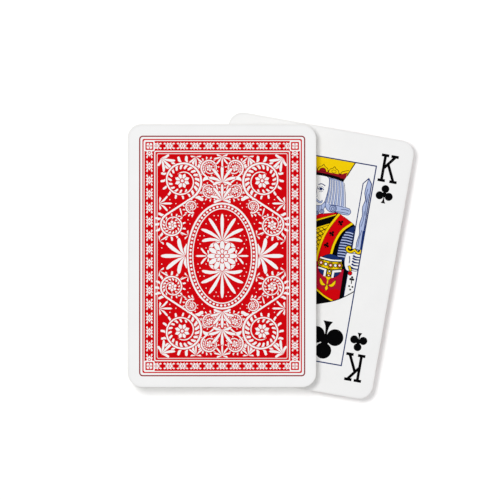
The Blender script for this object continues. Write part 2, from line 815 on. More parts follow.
def palmette(x, y, length, count, spread, turn, wide=sprayForm["wide"]):
    # Spray of leaves, laid from the outermost pair inwards
    shapes = []
    for share in sorted((2 * i / (count - 1) - 1 for i in range(count)), key=abs, reverse=True):
        size = length * (1 - sprayForm["drop"] * share * share)
        leaf = leafBits(size, length * wide, sprayForm["curl"] * share)
        shapes += moved(leaf, x, y, turn + spread / 2 * share)
    return shapes


def coil(roundel, angle, way):
    # Scroll from a roundel's edge to its eye
    bits = round(coilForm["bits"] * roundel["turns"] * math.sqrt(roundel["r"]))
    line = []
    for i in range(bits + 1):
        f = i / bits
        r = roundel["r"] - (roundel["r"] - roundel["eye"]) * f ** coilForm["ease"]
        line.append(away(roundel["x"], roundel["y"], r, angle + way * roundel["turns"] * 360 * f))
    return line


def tangent(first, second):
    # Angles at which the line that joins two roundels touches them
    across = (second["x"] - first["x"], second["y"] - first["y"])
    apart = first["r"] * first["spin"] - second["r"] * second["spin"]
    normal = math.degrees(math.atan2(across[1], across[0]) - math.acos(apart / math.hypot(*across)))
    return [normal if roundel["spin"] > 0 else normal + 180 for roundel in (first, second)]


def leafyCoil(line, way, size):
    # Leaves on both sides of a scroll, dwindling towards its eye
    shapes = []
    for side, kind in ((way, leaves["inside"]), (-way, leaves["outside"])):
        part = line[:round(len(line) * kind["share"])]
        shapes += leafRow(part, kind["long"] * size, kind["wide"] * size, leaves["bend"] * side,
                          leaves["step"] * size, leaves["lean"] * side, 1.0, kind["end"])
    return shapes


def stem(line, wide):
    # Vine that tapers towards the eye of its scroll
    def taper(f):
        return wide * (1.0 + (backPrint["vineTip"] - 1.0) * f)

    return cased("paper", line, lambda f: taper(f) + 2 * backPrint["edge"], taper, "red")


def drawQuarter():
    shapes, stems, flowers = [], [], []
    for names in (("side", "corner"), ("low", "top"), ("gap",)):
        group = [roundels[name] for name in names]
        joined = len(group) == 2
        angles = tangent(*group) if joined else [group[0]["start"]]
        joint = []
        for roundel, angle, way in zip(group, angles, (-1, 1)):
            way *= roundel["spin"]
            line = coil(roundel, angle, way)
            x, y, eye, petals, size = (roundel[key] for key in ("x", "y", "eye", "petals", "leafSize"))
            shapes += leafyCoil(line, way, size)
            stems += stem(line, backPrint["vine"] * size ** 0.5)
            flowers += rosette(x, y, eye, petals, flowerForm["turn"])
            joint.append(line[0])
        if joined:
            stems += inked("paper", ribbon(joint, backPrint["vine"] * group[0]["leafSize"] ** 0.5))
    for spray in sprays["quarter"]:
        shapes += palmette(*spray)
    return shapes + stems + flowers


def drawMedallion():
    def ring(inset):
        return oval(0, 0, *(half - inset for half in medallion["oval"]))

    shapes = []
    for inset, line in medallion["lines"]:
        shapes += inked("paper", ribbon(ring(inset), line, closed=True))
    bead = disc(0, 0, medallion["bead"], 7)
    shapes += row("paper", ring(medallion["beadInset"]), bead, medallion["beadStep"], closed=True)
    for spray in sprays["medallion"]:
        shapes += palmette(*spray)
    for r, petals in medallion["flowers"]:
        shapes += rosette(0, 0, r, petals)
    return shapes


def drawBorder():
    wide, high = border["band"]
    step = border["step"]
    shapes = []
    for halfWide, halfHigh, line in border["lines"]:
        outline = roundBox(0, 0, halfWide, halfHigh, border["lineCorner"])
        shapes += inked("paper", ribbon(outline, line, closed=True))
    flower = [away(0, 0, border["flower"][i % 2], 30 * i) for i in range(12)]
    sides = ([(-wide + step / 2, high), (wide - step / 2, high)],
             [(wide, high - step / 2), (wide, -high + step / 2)])
    for line in sides:
        made = row("paper", line, flower, step)
        made += row("red", line, disc(0, 0, border["eye"], 8), step)
        made += row("paper", line, disc(0, 0, border["dot"], 6), step)
        for lean, bend in border["leaves"]:
            leaf = placed(blade(*border["leaf"], bend), border["leafAt"])
            made += row("paper", line, leaf, step, lean)
        shapes += made + spun(made)
    block = []
    for ink, half, r in border["block"]:
        block += inked(ink, roundBox(wide, high, half, half, r))
    return shapes + fourWays(block + rosette(wide, high, border["blockFlower"], 4, turn=45))


def stipple(shapes):
    # Dots wherever the ornament leaves room for one
    pitch, room = backPrint["dotPitch"], backPrint["dot"] + backPrint["dotRoom"]
    outline = []
    for points in (points for ink, points in shapes if ink == "paper"):
        for a, b in zip(points, points[1:] + points[:1]):
            bits = 1 + int(math.dist(a, b) / room)
            outline += [tuple(p + (q - p) * k / bits for p, q in zip(a, b)) for k in range(bits)]
    tree = KDTree(len(outline))
    for i, (x, y) in enumerate(outline):
        tree.insert((x, y, 0), i)
    tree.balance()
    across, along = (int(half / pitch) - 1 for half in backPrint["field"])
    dots = []
    for i in range(-across, across + 1):
        for j in range(-along, along + 1):
            x, y = pitch * (i + 0.5 * (j % 2)), pitch * j
            if tree.find((x, y, 0))[2] > room:
                dots.append(arc(x, y, backPrint["dot"], 0, 270, 3))      # four corners are enough
    return inked("paper", *dots)


def drawBack():
    wide, high = backPrint["frame"]
    line, rounding = backPrint["frameLine"], backPrint["frameCorner"]
    ground = inked("deepRed", roundBox(0, 0, wide, high, rounding))
    ground += inked("paper", roundBox(0, 0, wide - line, high - line, rounding - line))
    ground += inked("red", roundBox(0, 0, *backPrint["field"], backPrint["fieldCorner"]))
    ornament = fourWays(drawQuarter())
    for spray in sprays["half"]:
        fan = palmette(*spray)
        ornament += fan + spun(fan)
    clearing = inked("red", oval(0, 0, *(half + medallion["clearing"] for half in medallion["oval"])))
    middle = drawMedallion() + drawBorder()
    return ground + ornament + clearing + stipple(ornament + middle) + middle


# Suit signs and corner indices

suitInk = {"clubs": "black", "spades": "black", "hearts": "red", "diamonds": "red", "joker": "black"}
foot = [(0.025, 0.02), (0.03, -0.22), (0.06, -0.38), (0.13, -0.5)]
halfSigns = {                  # right half of each sign, one unit high
    "spades": [(0, 0.5), (0.1, 0.32), (0.26, 0.15), (0.41, -0.02), (0.44, -0.19), (0.34, -0.32),
               (0.19, -0.31), (0.07, -0.2), (0, -0.08)],
    "hearts": [(0, 0.27), (0.07, 0.43), (0.22, 0.5), (0.38, 0.45), (0.46, 0.29), (0.42, 0.1),
               (0.3, -0.1), (0.14, -0.3), (0, -0.5)],
    "diamonds": [(0, 0.5), (0.17, 0.23), (0.38, 0), (0.17, -0.23), (0, -0.5)],
}
clubLobes = [(0, 0.29, 0.215), (0.25, -0.1, 0.222), (-0.25, -0.1, 0.222), (0, -0.02, 0.14)]


def scaled(points, size):
    return [(x * size, y * size) for x, y in points]


def star(size, points=5):
    reach = (0.5, 0.21)
    return [away(0, 0, size * reach[i % 2], 90 + 180 * i / points) for i in range(2 * points)]


def sign(suit, size, ink=None):
    ink = ink or suitInk[suit]
    if suit == "joker":
        return inked(ink, star(size))
    outlines = []
    if suit == "clubs":
        outlines += [disc(x * size, y * size, r * size) for x, y, r in clubLobes]
    else:
        outlines.append(halves(flow(scaled(halfSigns[suit], size))))
    if suit in ("clubs", "spades"):
        side = flow(scaled(foot, size))
        outlines.append(side + mirrored(side[::-1]))
    return inked(ink, *outlines)


glyphs = {                     # straight strokes and curved strokes, one unit high
    "A": ([[(0, 0.47), (-0.25, -0.455)], [(0, 0.47), (0.25, -0.455)], [(-0.16, -0.13), (0.16, -0.13)],
           [(-0.36, -0.455), (-0.13, -0.455)], [(0.13, -0.455), (0.36, -0.455)]], []),
    "2": ([[(-0.25, -0.455), (0.27, -0.455)], [(0.25, -0.44), (0.25, -0.32)]],
          [[(-0.24, 0.24), (-0.19, 0.4), (0, 0.455), (0.19, 0.39), (0.23, 0.22), (0.1, -0.03),
            (-0.23, -0.43)]]),
    "3": ([[(-0.22, 0.455), (0.22, 0.455)], [(0.2, 0.44), (-0.04, 0.1)], [(-0.2, 0.46), (-0.2, 0.34)]],
          [[(-0.05, 0.09), (0.13, 0.08), (0.25, -0.07), (0.24, -0.28), (0.1, -0.44), (-0.1, -0.455),
            (-0.25, -0.35)]]),
    "4": ([[(0.1, 0.47), (-0.28, -0.2)], [(-0.29, -0.2), (0.29, -0.2)], [(0.1, 0.47), (0.1, -0.455)],
           [(-0.03, -0.455), (0.23, -0.455)]], []),
    "5": ([[(-0.19, 0.455), (0.22, 0.455)], [(-0.17, 0.46), (-0.2, 0.05)]],
          [[(-0.21, 0.05), (-0.05, 0.14), (0.13, 0.1), (0.25, -0.06), (0.24, -0.27), (0.11, -0.42),
            (-0.08, -0.455), (-0.25, -0.36)]]),
    "6": ([], [[(0.21, 0.36), (0.07, 0.455), (-0.11, 0.4), (-0.22, 0.18), (-0.245, -0.16)],
               [(-0.24, -0.19), (-0.16, -0.39), (0, -0.455), (0.16, -0.39), (0.24, -0.19), (0.16, 0.01),
                (0, 0.08), (-0.16, 0.01), (-0.24, -0.19)]]),
    "7": ([[(-0.25, 0.455), (0.26, 0.455)], [(-0.23, 0.46), (-0.23, 0.33)]],
          [[(0.25, 0.44), (0.09, 0.14), (-0.03, -0.16), (-0.06, -0.48)]]),
    "8": ([], [[(0, 0.04), (-0.14, 0.1), (-0.2, 0.25), (-0.13, 0.41), (0, 0.455), (0.13, 0.41),
                (0.2, 0.25), (0.14, 0.1), (0, 0.04)],
               [(0, 0.04), (-0.18, -0.04), (-0.25, -0.22), (-0.16, -0.4), (0, -0.455), (0.16, -0.4),
                (0.25, -0.22), (0.18, -0.04), (0, 0.04)]]),
    "10": ([[(-0.26, 0.46), (-0.26, -0.455)], [(-0.37, -0.455), (-0.15, -0.455)],
            [(-0.26, 0.44), (-0.36, 0.34)]],
           [[(0.14, 0.455), (0.01, 0.36), (-0.04, 0), (0.01, -0.36), (0.14, -0.455), (0.27, -0.36),
             (0.32, 0), (0.27, 0.36), (0.14, 0.455)]]),
    "J": ([[(-0.06, 0.455), (0.24, 0.455)], [(0.1, 0.46), (0.1, -0.22)]],
          [[(0.1, -0.2), (0.06, -0.38), (-0.06, -0.455), (-0.2, -0.39), (-0.25, -0.22)]]),
    "Q": ([[(0.03, -0.2), (0.26, -0.49)]],
          [[(0, 0.455), (-0.17, 0.37), (-0.26, 0), (-0.17, -0.37), (0, -0.455), (0.17, -0.37),
            (0.26, 0), (0.17, 0.37), (0, 0.455)]]),
    "K": ([[(-0.2, 0.46), (-0.2, -0.46)], [(0.17, 0.455), (-0.18, 0)], [(-0.06, 0.16), (0.23, -0.455)],
           [(-0.34, 0.455), (-0.07, 0.455)], [(0.01, 0.455), (0.28, 0.455)],
           [(-0.34, -0.455), (-0.07, -0.455)], [(0.09, -0.455), (0.36, -0.455)]], []),
}
corner = {"x": 24.1, "rankY": 33.9, "rankHigh": 9.3, "stroke": 0.95, "suitY": 25.2, "suitHigh": 6.15,
          "starShare": 0.8}


def glyph(rank, ink):
    if rank == "9":
        return spun(glyph("6", ink))
    straight, curved = glyphs[rank]
    high = corner["rankHigh"]
    outlines = [ribbon(scaled(line, high), corner["stroke"]) for line in straight]
    for line in curved:
        ring = line[0] == line[-1]
        curve = flow(scaled(line[:-1] if ring else line, high), closed=ring)
        outlines.append(ribbon(curve, corner["stroke"], closed=ring))
    return inked(ink, *outlines)


def drawIndices(rank, suit):
    # The same sign stands upright in both upper corners, and turned round in the lower ones
    if suit == "joker":
        high = corner["rankHigh"] * corner["starShare"]
        mark = moved(sign(suit, high, rank), 0, corner["rankY"])
    else:
        mark = moved(glyph(rank, suitInk[suit]), 0, corner["rankY"])
        mark += moved(sign(suit, corner["suitHigh"]), 0, corner["suitY"])
    upper = moved(mark, corner["x"]) + moved(mark, -corner["x"])
    return upper + spun(upper)


# Number cards

pips = {"high": 11.0, "column": 10.6, "ace": 27.0}
pipRows = {                    # heights of the signs in the two columns, then in the middle
    "2": ((), (27, -27)), "3": ((), (27, 0, -27)), "4": ((27, -27), ()), "5": ((27, -27), (0,)),
    "6": ((27, 0, -27), ()), "7": ((27, 0, -27), (13.5,)), "8": ((27, 0, -27), (13.5, -13.5)),
    "9": ((27, 9, -9, -27), (0,)), "10": ((27, 9, -9, -27), (18, -18)),
}


def drawNumber(rank, suit):
    if rank == "A":
        return drawIndices(rank, suit) + sign(suit, pips["ace"])
    sides, middle = pipRows[rank]
    spots = [(x, y) for y in sides for x in (-pips["column"], pips["column"])]
    spots += [(0, y) for y in middle]
    shapes = drawIndices(rank, suit)
    for x, y in spots:
        pip = sign(suit, pips["high"])
        shapes += moved(pip if y >= 0 else spun(pip), x, y)
    return shapes


# Court cards: one figure, drawn once and turned round for the other half

court = {
    "wide": 19.8, "high": 34.0, "line": 0.4, "pip": (-12.9, 26.4), "pipHigh": 12.7,
    "middle": 0.95,                          # of the figure's face and breast
    # Right side of the line between the halves
    "parting": [(19.8, -8.7), (16.9, -11.0), (13.3, -13.1), (7.8, -15.1)],
    "partingLine": 0.3, "sash": 0.86, "sashWide": 1.0, "sashInner": 0.66,
}
costumes = {
    "clubs": {"robe": "black", "stole": "red", "trim": "yellow", "sleeve": "navy",
              "skirt": ("crimson", "red")},
    "spades": {"robe": "navy", "stole": "yellow", "trim": "red", "sleeve": "black",
               "skirt": ("red", "crimson")},
    "hearts": {"robe": "red", "stole": "yellow", "trim": "navy", "sleeve": "black",
               "skirt": ("navy", "black")},
    "diamonds": {"robe": "navy", "stole": "red", "trim": "yellow", "sleeve": "red",
                 "skirt": ("black", "navy")},
}
figures = {
    "K": {"beard": True, "crown": "tall", "hair": "paleBlue", "holds": "sword"},
    "Q": {"beard": False, "crown": "coronet", "hair": "yellow", "holds": "flower"},
    "J": {"beard": False, "crown": "cap", "hair": "yellow", "holds": "staff"},
}


def partingLine():
    # From the figure's right side to its left
    right = flow(court["parting"])
    return right + [(-x, -y) for x, y in right[::-1]]


def upperHalf():
    edge, top = court["wide"], court["high"]
    return [(edge, top), (-edge, top)] + partingLine()[::-1]


def between(upper, lower):
    return upper + lower[::-1]


brocade = {"half": 9, "rise": 13, "step": 1.5, "line": 0.27, "rows": (-5, 15),
           "cutFrom": 10, "cut": 7.2, "cutLeft": -7.1}


def drawBreast(costume):
    half, rise = brocade["half"], brocade["rise"]
    shapes = inked(costume["trim"], [(-9, 14), (10, 15.5), (9, 0), (8, -16), (-9, -18)])
    for i in range(*brocade["rows"]):
        y = brocade["step"] * i
        lines = [[(-half, y - rise), (half, y)], [(half, y - rise), (-half, y)]]
        if i >= brocade["cutFrom"]:          # shorter under the collar
            point = (court["middle"], y - brocade["cut"])
            lines = [[(half, y - rise), point], [(brocade["cutLeft"], y - rise), point]]
        shapes += strokes("black", brocade["line"], *lines)
    return shapes


collar = {
    "left": -7.0,
    # Right end of each hem, and its height on the middle line
    "hems": ((10.4, 16.6, 14.2), (10.3, 16.3, 12.05), (9.9, 15.7, 11.25), (8.7, 12.9, 9.05),
             (8.3, 12.25, 8.15)),
}


def drawCollar(costume):
    # Bands that meet in a point below the chin
    left, middle = collar["left"], court["middle"]
    hems = []
    for x, y, low in collar["hems"]:
        hems.append([(left, low + (y - low) * (middle - left) / (x - middle)), (middle, low), (x, y)])
    shapes = []
    for ink, upper, lower in zip((costume["stole"], "yellow", "black", "yellow"), hems, hems[1:]):
        shapes += edged(ink, between(upper, lower), 0.14, "black")
    return shapes


def drawRobe(costume, suit):
    shoulder = [(9.6, 16.4), (13.0, 14.9), (15.4, 13.6), (16.2, 12.9), (16.4, 0), (16.6, -14),
                (0, -20), (5.4, 1)]
    shapes = edged(costume["robe"], shoulder, 0.16, "black")
    inner = flow([(10.4, 16.2), (7.7, 11.2), (6.1, 6.5), (5.4, 1.5), (5.4, -2)])
    outer = flow([(15.2, 13.7), (12.1, 10.5), (10.4, 6), (9.9, 1.5), (9.9, -2)])
    shapes += inked(costume["stole"], between(inner, outer))
    for line in (inner, outer):
        shapes += cased(costume["trim"], line, 1.0, 0.75)
    for x, y, lean in ((11.3, 13.2, -45), (9.0, 9.1, -30), (7.9, 5.0, -15)):
        shapes += moved(sign(suit, 2.0, "black"), x, y, lean)
    return shapes


sleeve = {"stripes": 10, "top": 10.3, "step": 0.92, "inset": 0.25, "stripe": 0.38, "line": 0.16}


def drawSleeve(costume):
    cuff = flow([(16.2, 13.0), (14.6, 12.0), (13.0, 9.8), (12.1, 7.0), (11.8, 3.5), (12.0, 0.8)])
    shapes = edged(costume["sleeve"], cuff + [(16.2, 0.8)], 0.16, "black")
    for i in range(sleeve["stripes"]):
        y = sleeve["top"] - sleeve["step"] * i
        start = min((abs(py - y), px) for px, py in cuff)[1] + sleeve["inset"]
        line = [(start, y), ((start + 16) / 2, y + 0.16), (16.1, y - 0.05)]
        below = [(px, py - sleeve["step"] / 2) for px, py in line]
        shapes += strokes("paleBlue", sleeve["stripe"], line) + strokes("black", sleeve["line"], below)
    return shapes


def drawLily():
    petal = flow([(0.55, -0.1), (1.2, 0.2), (1.75, 0.9), (2.45, 1.8)])
    petal += flow([(2.45, 1.8), (2.55, 0.7), (2.0, -0.4), (1.2, -0.65), (0.55, -0.35)])[1:]
    drop = halves(flow([(0, 0.2), (0.22, -0.5), (0.52, -1.2), (0.3, -1.8), (0, -2.1)]))
    shapes = strokes("yellow", 0.36, [(0, 1.5), (0, 0)]) + bothWays(edged("yellow", petal, 0.12, "black"))
    for part in (drop, oval(0, 1.95, 0.65, 0.6)):
        shapes += edged("yellow", part, 0.12, "black")
    return shapes


def drawSkirt(costume):
    upper, lower = costume["skirt"]
    hem = flow([(6.8, -10.0), (10.1, -12.0), (13.6, -13.3)])
    outline = flow([(5.4, -1), (6.2, -6), (6.8, -10.0)]) + hem[1:] + [(15.3, -12.9), (15.1, -2)]
    fold = flow([(6.8, -9.4), (9.6, -9.9), (11.8, -9.6), (13.6, -9.0), (15.1, -9.4)])
    shapes = edged(upper, outline, 0.16, "black") + inked(lower, fold + [(15.2, -12.9)] + hem[::-1])
    return shapes + cased("yellow", hem, 0.8, 0.5) + moved(drawLily(), 10.35, -7.9, size=1.06)


def jewel(ink, x, y, r):
    # A coloured stone has a bright spot
    stone = edged(ink, disc(x, y, r), 0.24, "black")
    return stone if ink == "paper" else stone + inked("paper", disc(x, y, 0.5 * r))


def drawOrb():
    # Blue cap on a jewelled band, with two straps that turn down below it
    lining = flow([(6.6, -2.6), (7.0, -4.2), (8.9, -5.3), (11.7, -5.4), (13.5, -4.3), (14.2, -2.6)])
    shapes = edged("navy", lining, 0.14, "black")
    shapes += inked("yellow", [(9.0, -2.8), (11.7, -2.8), (11.7, -5.4), (10.4, -6.2), (9.0, -5.4)])
    for strap in ([(6.5, -2.75), (8.95, -3.15), (8.95, -5.4)],
                  [(14.2, -2.65), (11.7, -3.35), (11.7, -5.45)]):
        shapes += cased("paper", strap, 0.95, 0.72)
    for seam in ([(9.55, -2.8), (9.6, -5.5)], [(11.1, -2.8), (11.1, -5.5)]):
        shapes += inked("black", ribbon(seam, 0.3))
    shapes += jewel("paper", 10.35, -3.5, 0.42) + jewel("red", 10.35, -4.9, 0.5)
    dome = flow([(6.8, 0.5), (8.3, 1.75), (10.3, 2.3), (12.3, 1.9), (13.6, 0.7)])
    rim = flow([(6.5, 0.5), (10.3, 0.2), (13.8, 0.65)])
    shapes += edged("navy", dome, 0.16, "black") + cased("paper", rim, 0.9, 0.64)
    band = between(flow([(6.3, 0.2), (10.3, -0.15), (14.1, 0.35)]),
                   flow([(6.2, -2.3), (10.4, -2.9), (14.5, -2.15)]))
    shapes += edged("yellow", band, 0.34, "black")
    for x, y in ((7.1, -1.1), (10.4, -1.45), (13.4, -1.0)):
        shapes += edged("yellow", disc(x, y, 1.0), 0.2, "black") + jewel("red", x, y, 0.68)
    for x, y in ((8.75, -1.3), (12.0, -1.25)):
        shapes += jewel("paper", x, y, 0.58)
    return shapes


def drawSword():
    tip, back = (18.0, 29.5), [(19.5, 5.2), (19.25, 27.8)]
    bright = flow([tip, (17.7, 27.4), (17.5, 24.6), (18.1, 22.2), (17.6, 19.6), (18.0, 16.8),
                   (17.6, 13.8), (18.1, 10.6), (17.7, 7.8), (17.8, 5.2)])
    outline = [tip, (16.4, 27.5), (16.5, 5.2)] + back
    shapes = inked("paper", outline) + inked("paleBlue", bright + back)
    shapes += inked("navy", ribbon(bright, 0.22), ribbon(outline, 0.32, closed=True))
    shapes += strokes("navy", 0.17,
                      [(18.3, 26.0), (18.1, 23.6), (18.6, 21.4)],
                      [(18.4, 18.4), (18.6, 15.6), (18.2, 13.0)],
                      [(18.8, 24.4), (18.7, 20.2), (18.9, 17.0)],
                      [(18.7, 12.0), (18.3, 9.0), (18.3, 6.2)])
    return shapes + inked("navy", [(19.0, 11.8), (19.6, 11.8), (19.6, 5.4), (19.2, 5.4)])


def drawStaff():
    shapes = cased("yellow", [(17.9, 31), (17.9, 5)], 1.0, 0.7)
    head = flow([(17.9, 32.6), (19.3, 30.6), (18.8, 27.8), (17.9, 26.6), (17.0, 27.8), (16.5, 30.6)],
                closed=True)
    return shapes + edged("red", head, 0.2) + strokes("yellow", 0.3, [(17.9, 31.8), (17.9, 27.4)])


def drawFlower():
    bloom = (17.4, 23.6)
    shapes = strokes("navy", 0.5, [(17.6, 5), (17.9, 12), (17.2, 19), (17.4, 22)])
    for y, lean in ((10, 40), (14, 140), (17, 40)):
        shapes += moved(inked("navy", blade(2.4, 1.1, 30)), 17.6, y, lean)
    for i in range(6):
        shapes += moved(edged("red", blade(2.2, 1.5), 0.14, "black"), *bloom, 60 * i)
    return shapes + edged("yellow", disc(*bloom, 0.7), 0.14, "black")


fingers = {"heights": (3.15, 2.3, 1.3, 0.3, -0.85), "wide": 0.66, "thins": 0.3}


def drawHand():
    guard = flow([(16.1, 5.15), (15.6, 5.7), (14.95, 5.5), (14.8, 4.85), (15.3, 4.25), (16.2, 4.1),
                  (16.9, 4.45), (17.5, 5.0), (18.2, 4.4), (19.0, 4.15), (19.5, 4.7), (19.6, 5.4)])
    fist = flow([(14.9, 3.2), (15.6, 4.1), (16.6, 3.7), (19.6, 3.7), (19.8, 1.4), (19.6, -1.6),
                 (17.6, -2.0), (16.0, -2.2), (15.0, -0.6), (14.7, 1.4)], closed=True)
    shapes = edged("paper", fist, 0.2)
    for y in fingers["heights"]:
        finger = flow([(17.3, y), (18.1, y - 0.42), (19.65, y - 0.36)])
        shapes += inked("navy", ribbon(finger, lambda f: fingers["wide"] - fingers["thins"] * f))
    shapes += strokes("navy", 0.32, [(16.1, 2.7), (16.45, 1.4), (16.4, 0.3)])
    shapes += inked("black", [(15.0, 5.5), (15.6, 4.5), (16.9, 4.4), (16.5, 5.5)],
                    [(18.3, 4.5), (19.5, 4.4), (19.6, 5.2), (18.9, 5.2)])
    shapes += cased("yellow", guard, 1.04, 0.56)
    shapes += edged("yellow", [(16.2, -0.7), (16.9, -0.4), (17.75, -1.9), (17.0, -2.3)], 0.2, "black")
    return shapes + edged("red", disc(17.3, -2.95, 0.72), 0.16, "black")


def drawCloth(suit):
    # White panel at the robe's edge with a sign on a stalk and three dots
    cloth = [(16.6, -2.2), (19.8, -1.4), (19.8, -9.4), (16.6, -12.0)]
    shapes = edged("paper", cloth, 0.18) + moved(sign(suit, 1.8, "black"), 18.25, -4.7)
    shapes += strokes("black", 0.3, [(18.25, -4.9), (18.35, -6.4)])
    dots = [disc(x, y, 0.33) for x, y in ((17.75, -7.25), (18.9, -7.35), (18.3, -8.35))]
    return shapes + inked("black", *dots)


def curl(x, y, outer, inner, start, step, bits):
    # Spiral from its outer radius to its inner one, clockwise
    return [away(x, y, outer + (inner - outer) * i / bits, start - step * i) for i in range(bits + 1)]


hair = {
    "strands": 12, "line": 0.14, "gleam": 0.22, "gleamOff": (0.24, -0.3),
    # First strand, the step to the next, and the step's growth
    "topX": (4.9, 0.32, 0.01), "footX": (5.2, 0.4, 0.014),
    "topY": 27.2, "bendY": 23.4, "footY": 18.9,
    "curl": (7.9, 17.5), "curlSize": 1.15,
}


def drawHair(tone):
    lock = flow([(4.6, 27.4), (9.4, 27.2), (10.7, 24.5), (11.4, 21.5), (11.9, 18.6)])
    lock += flow([(13.4, 18.3), (14.0, 17.3), (13.3, 16.2), (11.0, 16.1), (9.0, 16.4), (7.0, 16.2),
                  (5.4, 17.4), (4.8, 19.6)])
    shapes = edged(tone, lock, 0.2)
    for i in range(hair["strands"]):         # closer together beside the face
        start, end = (x + step * i + growth * i * i for x, step, growth in (hair["topX"], hair["footX"]))
        line = [(start, hair["topY"]), (0.6 * start + 0.4 * end + 0.3, hair["bendY"]), (end, hair["footY"])]
        shapes += strokes("navy", hair["line"], line)
        if i % 2:
            shapes += strokes("paper", hair["gleam"], placed(line, *hair["gleamOff"]))
    shapes += strokes("navy", 0.2,
                      [(6.4, 18.5), (8.6, 18.7), (11.6, 18.5)],
                      [(7.6, 16.4), (10.4, 16.7), (13.2, 16.7)],
                      [(10.6, 17.6), (12.2, 17.8), (13.4, 17.5)])
    shapes += edged(tone, disc(*hair["curl"], hair["curlSize"]), 0.2)
    shapes += inked("navy", ribbon(curl(*hair["curl"], 0.95, 0.25, 120, 40, 14), 0.2))
    # Beyond the face the same lock shows half as wide
    far = [(ink, [(-3.1 - 0.5 * (x - 5.0), y) for x, y in points]) for ink, points in shapes]
    return shapes + far


def drawBeard(tone):
    beard = halves(flow([(0, 17.7), (1.5, 17.6), (2.9, 18.0), (3.9, 19.2), (4.2, 17.8), (3.7, 16.4),
                         (2.5, 15.4), (1.0, 14.7), (0, 14.9)]))
    side = strokes("navy", 0.13,
                   [(0.4, 17.4), (0.5, 16.4), (0.3, 15.2)], [(1.2, 17.4), (1.4, 16.4), (1.2, 15.1)],
                   [(2.1, 17.5), (2.3, 16.7), (2.1, 15.7)], [(2.9, 17.8), (3.2, 17.0), (3.0, 16.2)])
    for x, y in ((3.5, 15.9), (1.8, 15.0)):
        side += edged(tone, disc(x, y, 0.7), 0.18)
        side += inked("navy", ribbon(curl(x, y, 0.5, 0.1, 150, 45, 10), 0.15))
    moustache = flow([(0, 19.75), (0.9, 19.75), (1.8, 19.2), (2.5, 19.1), (2.9, 19.6), (3.0, 19.0),
                      (2.5, 18.55), (1.6, 18.7), (0.7, 19.15)])
    return edged(tone, beard, 0.18) + bothWays(side + edged(tone, moustache + [(0, 19.3)], 0.16))


face = {"eyeX": 1.8, "eyeY": 23.2, "eyeHalf": 1.0, "browY": 24.8, "noseY": 20.5, "mouthY": 18.75}


def drawFace(figure):
    skin = flow([(0, 27.8), (3.5, 27.6), (4.25, 25.4), (4.2, 22.0), (3.6, 18.6), (2.0, 16.2), (0, 15.4)])
    shapes = edged("paper", halves(skin), 0.2)
    x, y, half = face["eyeX"], face["eyeY"], face["eyeHalf"]
    brow, nose, mouth = face["browY"], face["noseY"], face["mouthY"]
    upper = flow([(x - half, y - 0.05), (x - 0.1, y + 0.5), (x + half, y)])
    lower = flow([(x - half, y - 0.05), (x, y - 0.4), (x + half, y)])
    side = edged("paper", between(upper, lower), 0.14) + inked("navy", disc(x, y + 0.05, 0.42))
    side += inked("black", disc(x, y + 0.05, 0.2)) + inked("navy", ribbon(upper, 0.24))
    side += strokes("navy", 0.3, [(x - 1.1, brow - 0.25), (x, brow + 0.2), (x + 1.3, brow - 0.3)])
    side += strokes("navy", 0.13, [(x - 0.7, y + 0.8), (x + 0.1, y + 1.0), (x + 0.9, y + 0.6)],
                    [(x - 0.5, y - 0.8), (x + 0.2, y - 0.9), (x + 0.8, y - 0.65)])
    side += strokes("navy", 0.16, [(0.65, y + 0.9), (0.5, y - 0.6), (0.6, nose + 0.5)],
                    [(0.85, nose + 0.45), (1.0, nose + 0.05), (0.65, nose - 0.25)])
    shapes += bothWays(side)
    shapes += strokes("navy", 0.18, [(-0.7, nose - 0.2), (-0.3, nose - 0.25), (0, nose - 0.45),
                                     (0.3, nose - 0.25), (0.7, nose - 0.2)])
    if figure["beard"]:
        shapes += drawBeard(figure["hair"])
    lips = between(flow([(-0.9, mouth - 0.1), (-0.35, mouth + 0.2), (0, mouth + 0.1),
                         (0.35, mouth + 0.2), (0.9, mouth - 0.1)]),
                   flow([(-0.9, mouth - 0.1), (0, mouth - 0.4), (0.9, mouth - 0.1)]))
    return moved(shapes + edged("red", lips, 0.12), court["middle"])


crown = {
    "x": 1.65, "top": 34.0, "foot": 26.7, "halfTop": 11.05, "halfFoot": 7.95, "bow": 1.0, "bits": 12,
    "line": 0.12, "lineAside": 0.1, "lining": (30.4, 27.8), "goldFoot": 29.2,
    "bossX": 2.3, "bossY": 29.5, "step": 3.75,
    "coronetTop": 31.6, "pearlY": 32.2, "pearlStep": 3.9, "pearl": 0.85,
}


def crownHalf(y):
    share = (y - crown["foot"]) / (crown["top"] - crown["foot"])
    return crown["halfFoot"] + (crown["halfTop"] - crown["halfFoot"]) * share


def bowed(x, y):
    # The brim rises towards the middle of the head, and the top stays straight
    rise = 1 - ((x - crown["bossX"]) / crown["halfFoot"]) ** 2
    return y + crown["bow"] * rise * (crown["top"] - y) / (crown["top"] - crown["foot"])


def crownLine(y, more):
    half = crownHalf(y) + more
    line = [crown["x"] + half * (2 * i / crown["bits"] - 1) for i in range(crown["bits"] + 1)]
    return [(x, bowed(x, y)) for x in line]


def crownBand(ink, high, low, more=0.0):
    return inked(ink, between(crownLine(high, more), crownLine(low, more)))


def drawBoss(golden):
    ogee = flow([(-1.8, 28.7), (-1.45, 29.8), (-0.5, 30.3), (0, 31.0), (0.5, 30.3), (1.45, 29.8),
                 (1.8, 28.7)])
    shapes = inked("yellow", ogee) + inked("black", ribbon(ogee, 0.18))
    if golden:
        return shapes + edged("yellow", oval(0, 29.3, 0.75, 0.5), 0.14, "black")
    return shapes + edged("deepRed", arc(0, 28.6, 1.15, 0, 180), 0.14, "black")


